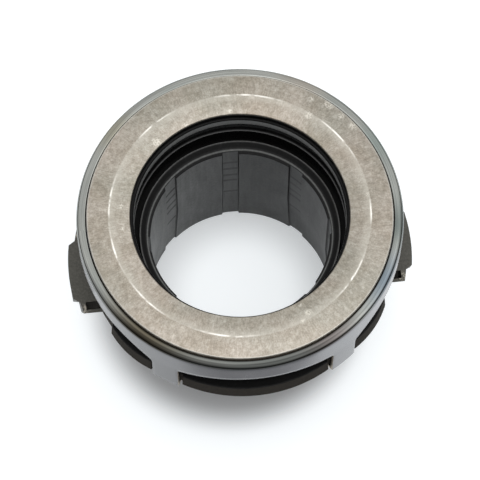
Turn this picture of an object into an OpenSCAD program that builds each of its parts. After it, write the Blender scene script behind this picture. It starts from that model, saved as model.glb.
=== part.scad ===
// Self-centring clutch release bearing: a moulded guide sleeve with two fork lugs carries
// a caged ball bearing in a pressed steel cover, which may float sideways on a disc spring.
// Millimetres. Z is the bearing axis, Z = 0 is the sleeve's lower end, the lugs lie on X.

/* [Guide sleeve] */
// Diameter of the bore that slides on the gearbox guide tube
bore_d = 44; // [40:0.5:50]
// Wall of the sleeve around the bore
sleeve_wall = 2.6; // [2.2:0.1:3.4]
// Wall of the sleeve at its lower end
foot_wall = 2.4; // [1.8:0.1:3.4]
// Height at which the bore starts to flare towards the lower end
flare_h = 21; // [12:0.5:24]
// How much the bore's radius grows down to the lower end
flare_out = 1.4; // [0.4:0.1:1.8]
// Height of the sleeve's rim above the carrier flange
rim_h = 4.5; // [3.6:0.1:5.5]
// Height of the lead-in at the rim
lead_h = 2.6; // [1.8:0.1:3.2]
// Height of the lead-in's steep lower cone
steep_h = 1.3; // [0.8:0.1:1.6]
// Radial width of the lead-in's steep lower cone
steep_w = 1; // [0.6:0.1:1.4]
// Number of grease grooves along the bore
groove_count = 8; // [4:1:8]
// Width of one grease groove
groove_w = 4; // [2:0.1:4]
// Depth of one grease groove
groove_depth = 0.45; // [0.2:0.05:0.6]

/* [Carrier flange] */
// Height of the flange's underside above the sleeve's lower end
flange_z = 34.2; // [32:0.2:42]
// Thickness of the flange at its rim
flange_t = 4.8; // [4:0.1:6]
// Thickness of the flange's plate between the ribs
plate_t = 2.8; // [2:0.1:3.2]
// Radial width of the flange's thick rim
rim_w = 2.4; // [1.8:0.1:4]
// Number of stiffening ribs under the flange
rib_count = 12; // [6:1:20]
// Thickness of one rib
rib_t = 1.6; // [1:0.1:2.4]
// How far the guard pads' lower edge stays inside the cover's outer wall
pad_inset = 0.05; // [0.05:0.05:0.6]
// How far the guard pads lean in from their lower edge to their top
pad_lean = 0.4; // [0.1:0.05:0.6]
// Chamfer on the guard pads' lower edge
pad_chamfer = 0.3; // [0.2:0.1:0.6]
// How far from the bearing axis the front and back guard pads' round faces are centred
front_pad_off = 4; // [0:0.5:8]
// How far from the bearing axis the side guard pads' round faces are centred
side_pad_off = 16; // [0:0.5:20]
// Angle from the lug axis at which the first guard pad begins
pad_start_a = 30; // [24:0.5:36]

/* [Fork lugs] */
// How far a lug's nose stands out past the cover's wall
lug_reach = 3.55; // [2.8:0.05:6]
// How far a lug's shoulders stand out past the cover's wall
shoulder_reach = 2.2; // [1.2:0.05:2.6]
// Width of a lug's nose at its tip
nose_w = 14.5; // [10:0.5:16]
// How much wider the nose is where it meets the shoulders
nose_flare = 2.2; // [1:0.1:2.6]
// Distance over which the nose widens
nose_slope = 2; // [1:0.1:2.6]
// Width across a lug's shoulders
shoulder_w = 22.8; // [22:0.2:26]
// Height of the fork pads above the sleeve's lower end
lug_z = 20; // [14:0.5:22]
// Thickness of a lug
lug_t = 8.2; // [6:0.2:9]
// How far a lug's flanks lean in from its top down to the fork pad
lug_lean = 3.6; // [0.5:0.1:4]
// Chamfer on a lug's outer edges
lug_chamfer = 0.3; // [0.2:0.1:1]
// How far the fork pad stands down from the rest of a lug
fork_pad_h = 0.6; // [0.3:0.1:1.2]
// Gap between the sleeve's foot and the fork pad, seen from above
fork_pad_gap = 2; // [1:0.1:4]
// Wall left around a clip pocket
pocket_wall = 0.9; // [0.6:0.1:1.2]
// Width of a clip pocket
pocket_w = 1.9; // [1:0.1:2]
// Length of a clip pocket
pocket_l = 4.8; // [3:0.1:5.4]
// Depth of a clip pocket
pocket_depth = 5; // [2:0.5:5.5]

/* [Cover] */
// Thickness of the cover's sheet
sheet_t = 0.9; // [0.7:0.05:1.2]
// Radial width of the cover's lip
lip_w = 2.25; // [1.8:0.05:2.6]
// Outside radius of the sheet's bends
bend_r = 1; // [0.8:0.05:1.2]
// Height of the wall above the middle of a window
wall_h = 7.1; // [6:0.1:8]
// Angle of a leg's middle from the lug axis
leg_a = 56.5; // [52:0.5:58]
// Width of one leg
leg_w = 7; // [5.5:0.1:8.5]
// Width of the level crown of the front and back windows
crown_w = 3; // [1:0.5:10]
// Drop of the front and back windows' arched edge at their ends
arch_drop = 2.2; // [1:0.1:2.8]
// Radius of the side windows' rounded ends
side_end_r = 12; // [11:0.5:16]
// Width of a side window's rounded end
side_end_w = 8.4; // [6:0.2:9]
// Length of the hook that a leg turns under the flange
hook_l = 4.2; // [3.6:0.1:4.6]

/* [Thrust ring] */
// Radial gap between the sleeve and the thrust ring
ring_gap = 1.85; // [1.7:0.05:3]
// Wall of the thrust ring's hub
hub_wall = 3.9; // [3.6:0.1:5]
// Thickness of the thrust ring's flange
face_t = 3.4; // [3:0.1:5]
// Radial gap between the thrust face and the cover's lip
lip_gap = 0.25; // [0.2:0.05:0.6]
// Height of the thrust face above the cover's lip
face_stand = 1; // [0.6:0.1:1.6]
// Radius of the thrust face's outer edge rounding
face_edge_r = 0.3; // [0.2:0.05:0.8]
// Distance of the crest track's middle from the thrust ring's bore
crest_in = 5.05; // [3.5:0.05:6]
// Width of the flat crest track
crest_w = 0.8; // [0.4:0.1:1.6]
// Fall of the thrust face from the crest to its edges
face_fall = 0.3; // [0.1:0.05:0.5]

/* [Inner seal] */
// Radial depth of the seal's seat in the thrust ring's bore
seal_seat = 0.95; // [0.8:0.05:1.2]
// How far the seal's lips stand in from the thrust ring's bore
lip_proud = 0.75; // [0.4:0.05:1]
// Height of the upper lip
lip_h = 2.7; // [2:0.1:3.2]
// Height of the lower lip
heel_h = 2; // [1:0.1:2.4]
// Height of the lower lip's middle above the seal's lower end
heel_z = 5.6; // [4:0.1:6.4]
// Chamfer on the upper lip's edges
lip_chamfer = 0.35; // [0.2:0.05:0.5]

/* [Balls and races] */
// Ball diameter
ball_d = 5.56; // [4.8:0.02:5.8]
// Number of balls
ball_count = 20; // [12:1:22]
// Radial gap between the two races' lands
land_gap = 2.6; // [2.2:0.1:3]
// Wall of the outer ring
outer_wall = 4.65; // [4.2:0.05:6]
// Wall of the outer ring's narrower lower end
spigot_wall = 2.25; // [1.6:0.05:3]
// Height of the outer ring's narrower lower end
spigot_h = 4.1; // [2:0.1:4.6]
// Web of the cage beside a ball pocket
cage_web = 0.6; // [0.5:0.05:1]
// Thickness of the bottom seal
seal_t = 0.7; // [0.5:0.05:1]
// Height of the grease space between the bottom seal and the cage
grease_h = 2.7; // [1.5:0.1:3.5]

/* [Disc spring] */
// Height of the fitted spring
spring_h = 1.6; // [1.4:0.1:2.4]
// Thickness of the spring's sheet, measured upright
spring_t = 0.6; // [0.4:0.05:0.8]
// Radial width of the spring
spring_w = 6; // [4:0.1:7]

/* [Clearances] */
// Sideways float of the bearing on the carrier, each way
float_travel = 0.3; // [0.2:0.05:0.6]
// Running clearance left at the end of the float
float_clear = 0.15; // [0.1:0.05:0.4]
// Clearance between pieces that are pressed or snapped together
fit_clear = 0.05; // [0.02:0.01:0.1]
// Clearance of a ball in its races
race_clear = 0.06; // [0.03:0.01:0.1]
// Clearance of a ball in its cage pocket
pocket_clear = 0.12; // [0.06:0.02:0.2]
// Gap between parts that turn past each other
turn_gap = 0.3; // [0.2:0.05:0.35]
// Gap at the faces where the hooks and the spring bear
hold_gap = 0.1; // [0.05:0.01:0.2]

/* [Hidden] */
$fn = 96;
cut = 1;
arc_steps = 8;

// Room that the carrier needs beside the cover's legs to float both ways at once
float_room = float_travel * sqrt(2) + float_clear;

// Radii, from the bore outwards
bore_r = bore_d / 2;
sleeve_r = bore_r + sleeve_wall;
foot_in_r = bore_r + flare_out;
foot_r = foot_in_r + foot_wall;
joint_r = sleeve_r - sleeve_wall / 2;
ring_bore_r = sleeve_r + ring_gap;
seat_r = ring_bore_r + seal_seat;
hub_r = seat_r + hub_wall;
ball_r = ball_d / 2;
pitch_r = hub_r + land_gap / 2;
land_r = hub_r + land_gap;
spigot_r = land_r + spigot_wall;
outer_r = land_r + outer_wall;
cover_in_r = outer_r + fit_clear;
cover_r = cover_in_r + sheet_t;
lip_in_r = cover_r - lip_w;
face_r = lip_in_r - lip_gap;
crest_r = ring_bore_r + crest_in;
pad_r = cover_r - pad_inset;
disc_r = cover_in_r - float_room;
rim_in_r = disc_r - rim_w;
rim_mid_r = disc_r - rim_w / 2;
hook_in_r = cover_in_r - hook_l;
lug_r = cover_r + lug_reach;
shoulder_r = cover_r + shoulder_reach;

// Heights, from the sleeve's lower end upwards
flange_top = flange_z + flange_t;
plate_z = flange_top - plate_t;
sleeve_top = flange_top + rim_h;
lead_z = sleeve_top - lead_h;
steep_top = lead_z + steep_h;
lug_top = lug_z + lug_t;
ring_z = flange_top + spring_h;
hub_z = ring_z + turn_gap;
cage_z = hub_z + seal_t + grease_h;
cage_h = ball_d + 2 * pocket_clear + 2 * cage_web;
cage_top = cage_z + cage_h;
ball_z = cage_z + cage_h / 2;
face_under = cage_top + turn_gap;
face_z = face_under + face_t;
face_low = face_z - face_fall;
lip_top = face_z - face_stand;
lip_under = lip_top - sheet_t;
seat_top = lip_under;
window_top = lip_top - wall_h;
hook_top = flange_z - hold_gap;
hook_bottom = hook_top - sheet_t;

// Angles and window sizes
groove_a = 2 * asin(groove_w / 2 / bore_r);
leg_half_a = asin(leg_w / 2 / cover_r);
pad_gap_a = asin((leg_w / 2 + float_room) / cover_in_r);
lug_lean_a = atan(lug_lean / lug_t);
front_half_a = 90 - leg_a - leg_half_a;
side_half_a = leg_a - leg_half_a;
front_half_w = cover_r * sin(front_half_a);
side_half_w = cover_r * sin(side_half_a);
arch_w = front_half_w - crown_w / 2;
arch_r = (arch_w * arch_w + arch_drop * arch_drop) / (2 * arch_drop);

ball_names = [for (i = [1:ball_count]) str("ball_", i < 10 ? "0" : "", i)];

// Points of an arc about c, from angle a0 to a1
function arc(c, r, a0, a1) =
    [for (i = [0:arc_steps]) let (a = a0 + (a1 - a0) * i / arc_steps) c + r * [cos(a), sin(a)]];

// Points of a window's upper edge, from the end of its level part down a circle of radius r
function eave(level, width, r) =
    [for (i = [0:arc_steps])
        let (y = width * i / arc_steps)
        [level + y, window_top - r + sqrt(r * r - y * y)]];

// A revolved slice of a profile, centred on angle a
module slice(a, width) {
    rotate([0, 0, a - width / 2])
        rotate_extrude(angle = width)
            children();
}

// Copies at an angle and its mirrors in both vertical planes
module four_ways(a) {
    for (b = [a, 180 - a, 180 + a, 360 - a])
        rotate([0, 0, b])
            children();
}

// Groove in which the balls run, the same for both races
module ball_groove() {
    rotate_extrude()
        translate([pitch_r, ball_z])
            circle(r = ball_r + race_clear);
}

// Sleeve wall in section
module sleeve_profile() {
    polygon([
        [foot_in_r, 0],
        [foot_r, 0],
        [sleeve_r, flange_z],
        [sleeve_r, sleeve_top],
        [bore_r + steep_w, steep_top],
        [bore_r, lead_z],
        [bore_r, flare_h]
    ]);
}

// Grease groove in section, following the bore and running out in the lead-in's lower cone
module groove_profile() {
    below = cut / flare_h;
    polygon([
        [bore_r - cut, -cut],
        [foot_in_r + flare_out * below + groove_depth, -cut],
        [bore_r + groove_depth, flare_h],
        [bore_r + groove_depth, steep_top],
        [bore_r - cut, steep_top]
    ]);
}

// Flange plate with its thick rim, in section
module flange_profile() {
    polygon([
        [joint_r, plate_z],
        [rim_in_r, plate_z],
        [rim_in_r, flange_z],
        [disc_r, flange_z],
        [disc_r, flange_top],
        [joint_r, flange_top]
    ]);
}

// Guard pad in section
module pad_profile() {
    polygon([
        [rim_mid_r, flange_z],
        [pad_r - pad_chamfer, flange_z],
        [pad_r, flange_z + pad_chamfer],
        [pad_r - pad_lean, flange_top],
        [rim_mid_r, flange_top]
    ]);
}

// One guard pad about +X, whose round face is centred off the bearing axis
module guard_pad(width, off) {
    intersection() {
        slice(0, width)
            translate([joint_r, flange_z])
                square([pad_r + cut - joint_r, flange_t]);
        translate([off, 0, 0])
            rotate_extrude()
                translate([-off, 0])
                    pad_profile();
    }
}

// Guard pads between and beside the cover's legs
module guard_pads() {
    front_w = 2 * (90 - leg_a - pad_gap_a);
    side_w = leg_a - pad_gap_a - pad_start_a;
    for (a = [90, 270])
        rotate([0, 0, a])
            guard_pad(front_w, front_pad_off);
    four_ways(pad_start_a + side_w / 2)
        guard_pad(side_w, side_pad_off);
}

// Ribs from the sleeve to the rim under the flange's plate
module ribs() {
    for (i = [0:rib_count - 1])
        rotate([0, 0, (i + 0.5) * 360 / rib_count])
            translate([joint_r, -rib_t / 2, flange_z])
                cube([rim_mid_r - joint_r, rib_t, flange_t - plate_t / 2]);
}

// A lug's shoulders seen from above, reaching out along +X
module shoulder_outline() {
    intersection() {
        circle(r = shoulder_r);
        translate([joint_r, -shoulder_w / 2])
            square([shoulder_r, shoulder_w]);
    }
}

// A lug's nose seen from above
module nose_outline() {
    tip_y = nose_w / 2;
    root_y = tip_y + nose_flare / 2;
    slope_x = lug_r - lug_chamfer - nose_slope;
    polygon([
        [rim_in_r, -root_y],
        [slope_x, -root_y],
        [slope_x + nose_slope, -tip_y],
        [lug_r + cut, -tip_y],
        [lug_r + cut, tip_y],
        [slope_x + nose_slope, tip_y],
        [slope_x, root_y],
        [rim_in_r, root_y]
    ]);
}

// Block along +X, as wide as given at a lug's top, whose flanks lean in downwards
module leaning_block(width) {
    top_y = width / 2;
    low_y = top_y - lug_lean;
    rotate([90, 0, 90])
        linear_extrude(lug_r + cut)
            polygon([[-low_y, lug_z], [low_y, lug_z], [top_y, lug_top], [-top_y, lug_top]]);
}

// The part of a lug above the fork pad, from an outline
module lug_body() {
    translate([0, 0, lug_z + fork_pad_h])
        linear_extrude(lug_t - fork_pad_h)
            children();
}

// Round limit of the lugs' noses, with chamfered edges
module lug_limit() {
    rotate_extrude()
        polygon([
            [0, lug_z],
            [lug_r - lug_chamfer, lug_z],
            [lug_r, lug_z + lug_chamfer],
            [lug_r, lug_top - lug_chamfer],
            [lug_r - lug_chamfer, lug_top],
            [0, lug_top]
        ]);
}

// One fork lug with its fork pad, its two clip pockets and the post that joins it to the flange
module lug() {
    post_w = nose_w + nose_flare;
    post_z = lug_top - lug_chamfer;
    end_y = shoulder_w / 2 - pocket_wall;
    end_x = sqrt(shoulder_r * shoulder_r - end_y * end_y) - pocket_wall;
    difference() {
        union() {
            intersection() {
                lug_body()
                    shoulder_outline();
                leaning_block(shoulder_w);
            }
            intersection() {
                union() {
                    lug_body()
                        nose_outline();
                    translate([foot_r + fork_pad_gap, -nose_w / 2, lug_z])
                        cube([lug_r, nose_w, lug_t / 2]);
                }
                leaning_block(post_w);
                lug_limit();
            }
        }
        for (side = [0, 1])
            mirror([0, side, 0])
                translate([end_x - pocket_l, end_y, lug_top])
                    rotate([-lug_lean_a, 0, 0])
                        translate([0, -pocket_w, -pocket_depth])
                            cube([pocket_l, pocket_w, pocket_depth + 2 * cut]);
    }
    translate([joint_r, -post_w / 2, post_z])
        cube([rim_in_r - joint_r, post_w, plate_z + plate_t / 2 - post_z]);
}

module guide_sleeve() {
    color([0.2, 0.2, 0.195])
        difference() {
            union() {
                rotate_extrude()
                    sleeve_profile();
                rotate_extrude()
                    flange_profile();
                guard_pads();
                ribs();
                for (a = [0, 180])
                    rotate([0, 0, a])
                        lug();
            }
            for (i = [0:groove_count - 1])
                slice(i * 360 / groove_count, groove_a)
                    groove_profile();
        }
}

// Conical spring that presses the bearing up against the pull of the hooks
module disc_spring() {
    low_z = flange_top + hold_gap;
    high_z = ring_z - hold_gap;
    wide_r = spigot_r - float_clear;
    narrow_r = wide_r - spring_w;
    color([0.3, 0.31, 0.33])
        rotate_extrude()
            polygon([
                [narrow_r, low_z],
                [wide_r, high_z - spring_t],
                [wide_r, high_z],
                [narrow_r, low_z + spring_t]
            ]);
}

// Cover sheet in section: lip, bend, wall, and the hook that turns under the flange
module cover_profile() {
    lip_c = [cover_r - bend_r, lip_top - bend_r];
    hook_c = [cover_r - bend_r, hook_bottom + bend_r];
    polygon(concat(
        [[lip_in_r, lip_under], [lip_in_r, lip_top]],
        arc(lip_c, bend_r, 90, 0),
        arc(hook_c, bend_r, 0, -90),
        [[hook_in_r, hook_bottom], [hook_in_r, hook_top]],
        [[cover_in_r, hook_top], [cover_in_r, lip_under]]
    ));
}

// Space between two legs about angle a, from below the hooks up past the windows
module leg_space(a, half_a) {
    low = hook_bottom - cut;
    slice(a, 2 * half_a)
        translate([hook_in_r - cut, low])
            square([hook_l + sheet_t + 2 * cut, window_top + cut - low]);
}

// Room below a window's arched edge, cut outwards along +X
module under_arch(level, width, r) {
    edge = eave(level, width + cut, r);
    end_y = level + width + cut;
    low = hook_bottom - 2 * cut;
    rotate([90, 0, 90])
        linear_extrude(cover_r + 2 * cut)
            polygon(concat(
                [[-end_y, low], [end_y, low]],
                [for (i = [arc_steps:-1:0]) edge[i]],
                [for (p = edge) [-p[0], p[1]]]
            ));
}

module cover() {
    color([0.6, 0.62, 0.64])
        difference() {
            rotate_extrude()
                cover_profile();
            for (a = [90, 270])
                intersection() {
                    leg_space(a, front_half_a);
                    rotate([0, 0, a])
                        under_arch(crown_w / 2, arch_w, arch_r);
                }
            for (a = [0, 180])
                intersection() {
                    leg_space(a, side_half_a);
                    rotate([0, 0, a])
                        under_arch(side_half_w - side_end_w, side_end_w, side_end_r);
                }
        }
}

// Stationary race, with a narrower lower end and a collar up to the cover's lip
module outer_ring() {
    collar_in_r = face_r + turn_gap;
    step_z = ring_z + spigot_h;
    color([0.5, 0.5, 0.52])
        difference() {
            rotate_extrude()
                polygon([
                    [land_r, ring_z],
                    [spigot_r, ring_z],
                    [spigot_r, step_z],
                    [outer_r, step_z],
                    [outer_r, lip_under - fit_clear],
                    [collar_in_r, lip_under - fit_clear],
                    [collar_in_r, cage_top],
                    [land_r, cage_top]
                ]);
            ball_groove();
        }
}

// Flat seal that keeps the grease in from below
module bottom_seal() {
    color([0.07, 0.07, 0.075])
        rotate_extrude()
            translate([hub_r + turn_gap, hub_z])
                square([land_gap - turn_gap - fit_clear, seal_t]);
}

module ball_cage() {
    color([0.62, 0.5, 0.3])
        difference() {
            rotate_extrude()
                translate([hub_r + turn_gap, cage_z])
                    square([land_gap - 2 * turn_gap, cage_h]);
            for (i = [0:ball_count - 1])
                rotate([0, 0, i * 360 / ball_count])
                    translate([hub_r, 0, ball_z])
                        rotate([0, 90, 0])
                            cylinder(r = ball_r + pocket_clear, h = land_gap);
        }
}

module ball(i) {
    color([0.75, 0.76, 0.78])
        rotate([0, 0, i * 360 / ball_count])
            translate([pitch_r, 0, ball_z])
                sphere(r = ball_r);
}

// Thrust ring in section: crowned face with a flat crest, flange, and hub with the seal's seat
module thrust_profile() {
    edge_c = [face_r - face_edge_r, face_low - face_edge_r];
    polygon(concat(
        [[ring_bore_r, seat_top], [ring_bore_r, face_low]],
        [[crest_r - crest_w / 2, face_z], [crest_r + crest_w / 2, face_z]],
        arc(edge_c, face_edge_r, 90, 0),
        [[face_r, face_under], [hub_r, face_under]],
        [[hub_r, hub_z], [seat_r, hub_z], [seat_r, seat_top]]
    ));
}

module thrust_ring() {
    color([0.66, 0.64, 0.6])
        difference() {
            rotate_extrude()
                thrust_profile();
            ball_groove();
        }
}

// Rubber lining with two lips in the thrust ring's bore
module inner_seal() {
    top = seat_top - fit_clear;
    back_r = seat_r - fit_clear;
    lip_r = ring_bore_r - lip_proud;
    color([0.06, 0.06, 0.065])
        rotate_extrude()
            polygon([
                [back_r, hub_z],
                [back_r, top],
                [lip_r + lip_chamfer, top],
                [lip_r, top - lip_chamfer],
                [lip_r, top - lip_h + lip_chamfer],
                [lip_r + lip_chamfer, top - lip_h],
                [ring_bore_r, top - lip_h],
                [ring_bore_r, hub_z + heel_z + heel_h / 2],
                [lip_r, hub_z + heel_z],
                [ring_bore_r, hub_z + heel_z - heel_h / 2],
                [ring_bore_r, hub_z]
            ]);
}

guide_sleeve();
disc_spring();
cover();
outer_ring();
bottom_seal();
ball_cage();
for (i = [0:ball_count - 1])
    ball(i);
thrust_ring();
inner_seal();
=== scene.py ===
import math

import bmesh
import bpy
from mathutils import Matrix, Vector


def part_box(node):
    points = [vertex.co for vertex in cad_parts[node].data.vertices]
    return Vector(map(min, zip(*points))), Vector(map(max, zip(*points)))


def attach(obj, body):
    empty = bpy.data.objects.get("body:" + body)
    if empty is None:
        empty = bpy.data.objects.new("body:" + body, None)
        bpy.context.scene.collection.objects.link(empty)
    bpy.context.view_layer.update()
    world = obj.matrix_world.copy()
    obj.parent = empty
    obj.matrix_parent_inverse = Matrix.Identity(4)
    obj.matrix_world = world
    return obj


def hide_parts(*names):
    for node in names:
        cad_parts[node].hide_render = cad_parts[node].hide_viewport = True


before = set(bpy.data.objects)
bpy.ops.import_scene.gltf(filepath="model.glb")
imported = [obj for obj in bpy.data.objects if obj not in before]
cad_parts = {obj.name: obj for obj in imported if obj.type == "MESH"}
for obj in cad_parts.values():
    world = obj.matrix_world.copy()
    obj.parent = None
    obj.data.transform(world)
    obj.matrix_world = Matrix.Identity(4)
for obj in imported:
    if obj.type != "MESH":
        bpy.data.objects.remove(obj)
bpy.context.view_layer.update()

# Looks of the clutch release bearing. Sizes are in millimetres unless a name says otherwise.
MM = 0.001
SEGMENTS = 288
SHARP_DEG = 32

# Camera, fitted to the photograph's view
LENS_MM = 187.2
SENSOR_MM = 36.0
CAMERA_CLIP = 10.0
CAMERA_DISTANCE = 600
CAMERA_AZIMUTH_DEG = -6.2
CAMERA_ELEVATION_DEG = 67.0
CAMERA_PITCH_DEG = 67.615

# Sheet of the cover
SHEET = 0.9
BEND_R = 1.0
LIP_W = 2.25
WALL_H = 7.1
LEG_DEG = 56.5
LEG_W = 7.0
CROWN_W = 3.0
ARCH_DROP = 2.2
SIDE_END_R = 12.0
SIDE_END_W = 8.4
CORNER_R = 0.7
CUT_BEVEL = 0.12
CUT_BEVEL_DEG = 50
CUT_BEVEL_STEPS = 2

# Mesh of the cover: columns on a leg, in a window and in its corners, and rows down the wall and the legs
LEG_STEPS = 8
WINDOW_STEPS = 40
CORNER_SHARES = (0.06, 0.22, 0.5, 1.0)
WALL_ROWS = 6
LEG_ROWS = 8
BEND_STEPS = 8
LIP_ROW_IN = 0.35
LIP_ROW_OUT = 0.25
HOOK_ROW_OUT = 0.4

# Thrust ring
HUB_R = 31.3
SEAT_DEPTH = 0.95
SEAT_DROP = 1.9
FACE_T = 3.4
FACE_FALL = 0.3
CREST_IN = 5.05
CREST_W = 0.8
EDGE_R = 0.3
BORE_EDGE_R = 0.35
HUB_ROUND = 0.2
RACE_CLEAR = 0.06
TRACK_STEPS = 14
RING_FILLET_STEPS = 6

# Marks on the thrust face: the painted light zone just inside the crest and the bright line of painted glints
# along it, the line's bright stretches by angle and half width in degrees, and scuffs by radius, angle in
# degrees and size
GLOW_W = 2.4
GLOW_IN = 0.1
GLOW_OUT = 0.35
LINE_OUT = 0.05
LINE_HALF_W = 0.36
CREST_GLINTS = (
    (168, 16), (-168, 14), (-141, 15), (-102, 18), (-37, 16), (-5, 8), (34, 18), (80, 22), (126, 14),
)
SCUFFS = (
    (27.8, 131, 1.6), (27.1, 113, 0.9), (27.3, 89, 0.8), (31.0, 51, 1.3), (36.0, 34, 1.4),
    (36.2, 47, 1.6), (35.6, 40, 1.2), (35.2, 54, 1.0), (30.2, -64, 1.2), (31.3, -68, 0.8),
    (27.5, -65, 0.6), (31.2, 3, 0.7), (28.7, 170, 0.9), (28.6, -178, 0.8),
)
SPOT_CORE = 0.3

# Marks on the cover's lip: temper colours by angle and half width in degrees, painted shade in front, and the
# painted highlight line across it
TEMPERS = (
    (-133, 26, (0.212, 0.186, 0.136, 1.0)),
    (-62, 16, (0.270, 0.245, 0.235, 1.0)),
    (-32, 18, (0.165, 0.195, 0.220, 1.0)),
    (-10, 14, (0.160, 0.180, 0.170, 1.0)),
    (24, 12, (0.240, 0.272, 0.255, 1.0)),
    (60, 16, (0.300, 0.282, 0.250, 1.0)),
    (138, 14, (0.285, 0.275, 0.225, 1.0)),
)
FRONT_SHADE_DEG = -103
FRONT_SHADE_FULL_DEG = 30
FRONT_SHADE_END_DEG = 68
LIP_HIGHLIGHT_IN = 0.65
LIP_HIGHLIGHT_HALF_W = 0.6

# Inner seal
LIP_H = 2.7
HEEL_H = 2.0
HEEL_Z = 5.6
LIP_ROUND = 0.45
LIP_ROOT_ROUND = 0.15
HEEL_ROUND = 0.18
HEEL_ROOT_ROUND = 0.3
BACK_ROUND = 0.1
SEAL_FILLET_STEPS = 5
TIP_HIGHLIGHT_HALF_W = 0.6

# Guide sleeve
SLEEVE_WALL = 2.6
FOOT_WALL = 2.4
FLARE_H = 21.0
FLARE_OUT = 1.4
LEAD_H = 2.6
STEEP_H = 1.3
STEEP_W = 1.0
GROOVES = 8
GROOVE_W = 4.0
GROOVE_DEPTH = 0.45
GROOVE_ROUND = 0.15
RIM_H = 4.5
FLANGE_T = 4.8
PLATE_T = 2.8
RIM_W = 2.4
FLANGE_CHAMFER = 0.3
RIBS = 12
RIB_T = 1.6
RIB_ROUND = 0.15
PAD_INSET = 0.05
PAD_LEAN = 0.4
PAD_START_DEG = 30.0
PAD_ROUND = 0.15
FRONT_PAD_OFF = 4.0
SIDE_PAD_OFF = 16.0
FLOAT_ROOM = 0.574
FOOT_ROUND = 0.25
CHAMFER_ROUND = 0.1
FLANGE_ROUND = 0.3
RIM_ROOT_ROUND = 0.4
RIM_ROUND = 0.15
KINK_ROUND = 0.25
MOUTH_ROUND = 0.15

# Mesh of the sleeve: even columns, and close ones at shares of the roundings beside them
SLEEVE_COLUMNS = 240
GROOVE_SHARES = (-1, -0.5, 0, 0.5, 1)
PAD_SHARES = (0, 0.15, 0.35, 0.65, 1)
RIB_SHARES = (0, 1)
ANGLE_DIGITS = 3
SAME_POINT = 0.001
SLEEVE_FILLET_STEPS = 3

# Marks on the sleeve: lines across the grooves by height, where a line's edge starts and ends from its
# middle, radii between which one look gives way to the next, and worn spots on the lugs' top edges like the
# scuffs, which also carry a painted highlight
GROOVE_LINES = (35.0, 31.3, 27.5, 24.2, 16.6)
GROOVE_LINE_EDGE = (0.35, 0.75)
GROOVE_EDGE_RAD = 0.02
WALL_MIDDLE = (24.0, 24.4)
GUARD_START = (37.5, 37.8)
LUG_START = (33.0, 36.0)
LUG_RUBS_AND_SHEEN = ((41.2, -14.5, 2.2), (41.2, -165.5, 1.8), (41.2, 14.5, 1.6), (41.2, 165.5, 1.6))

# Fork lugs
LUG_Z = 20.0
LUG_T = 8.2
LUG_LEAN = 3.6
LUG_BEVEL = 0.3
LUG_BEVEL_STEPS = 3
LUG_EDGE_DEG = 30
SHOULDER_REACH = 2.2
SHOULDER_W = 22.8
NOSE_W = 14.5
NOSE_FLARE = 2.2
NOSE_RUN = 2.3
LUG_ARC_STEPS = 12
FORK_PAD_H = 0.6
FORK_PAD_GAP = 2.0
FORK_PAD_OVERLAP = 1.0
POCKET_WALL = 0.9
POCKET_W = 1.9
POCKET_L = 4.8
POCKET_DEPTH = 5.0
POCKET_ABOVE = 2.0

# Studio: the dome's light by the sine of its height, a patch overhead, the floor's glow, which paints light
# inside the sleeve's bore and the shadow's falloff round the object, and a grey card
DOME_LOW = 0.50
DOME_HIGH = 0.85
DOME_DIM = 0.20
DOME_BRIGHT = 1.10
DOME_BEHIND = 0.5
PATCH_AXIS = (0.18, -0.09, 1.0)
PATCH_RIM_DEG = 32
PATCH_CORE_DEG = 16
PATCH_LIGHT = 1.2
FLOOR_HALF_W = 3000.0
FLOOR_COLOUR = (0.70, 0.71, 0.72, 1.0)
GLOW_COLOUR = (0.96, 1.0, 1.02, 1.0)
FLOOR_GLOW = 0.55
FLOOR_GLOW_IN = 0.63
FLOOR_GLOW_EDGE = 0.37
FLOOR_GLOW_BLUR = 1.0
SHADOW_R = 29.0
SHADOW_END_R = 39.0
SHADOW_LEAN = 0.08
CARD_NEAR = 50.0
CARD_FAR = 110.0
CARD_HALF_W = 34.0
CARD_UP = 0.3
CARD_COLOUR = (0.68, 0.69, 0.71, 1.0)
MATT = 0.9


def extent(node):
    """Least radius, greatest radius, lowest and highest height of a CAD node, in millimetres."""
    points = [v.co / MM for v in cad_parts[node].data.vertices]
    radii = [math.hypot(p.x, p.y) for p in points]
    heights = [p.z for p in points]
    return min(radii), max(radii), min(heights), max(heights)


# Sizes read from the frame
RING_BORE_R, FACE_R, HUB_Z, FACE_Z = extent("thrust_ring")
HOOK_IN_R, COVER_R, HOOK_BOTTOM, LIP_TOP = extent("cover")
SEAL_LIP_R, SEAL_BACK_R, SEAL_LOW, SEAL_TOP = extent("inner_seal")
BORE_R, LUG_R, FOOT_Z, SLEEVE_TOP = extent("guide_sleeve")
BALL_LOW, BALL_HIGH = (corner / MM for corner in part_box("ball_01"))
BALL_MIDDLE = (BALL_LOW + BALL_HIGH) / 2
BALL_R = (BALL_HIGH.z - BALL_LOW.z) / 2

# Sizes that follow from those above
LIP_IN_R = COVER_R - LIP_W
CREST_R = RING_BORE_R + CREST_IN
EDGE_Z = FACE_Z - FACE_FALL
SEAL_LIP_Z = SEAL_TOP - LIP_H
HEEL_MIDDLE = SEAL_LOW + HEEL_Z
SLEEVE_R = BORE_R + SLEEVE_WALL
FOOT_R = BORE_R + FLARE_OUT + FOOT_WALL
STEEP_R = BORE_R + STEEP_W
LEAD_Z = SLEEVE_TOP - LEAD_H
STEEP_TOP = LEAD_Z + STEEP_H
FLANGE_TOP = SLEEVE_TOP - RIM_H
FLANGE_Z = FLANGE_TOP - FLANGE_T
DISC_R = COVER_R - SHEET - FLOAT_ROOM
RIM_IN_R = DISC_R - RIM_W
RIB_R = (SLEEVE_R + RIM_IN_R) / 2
LUG_TOP = LUG_Z + LUG_T
SHOULDER_R = COVER_R + SHOULDER_REACH


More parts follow.
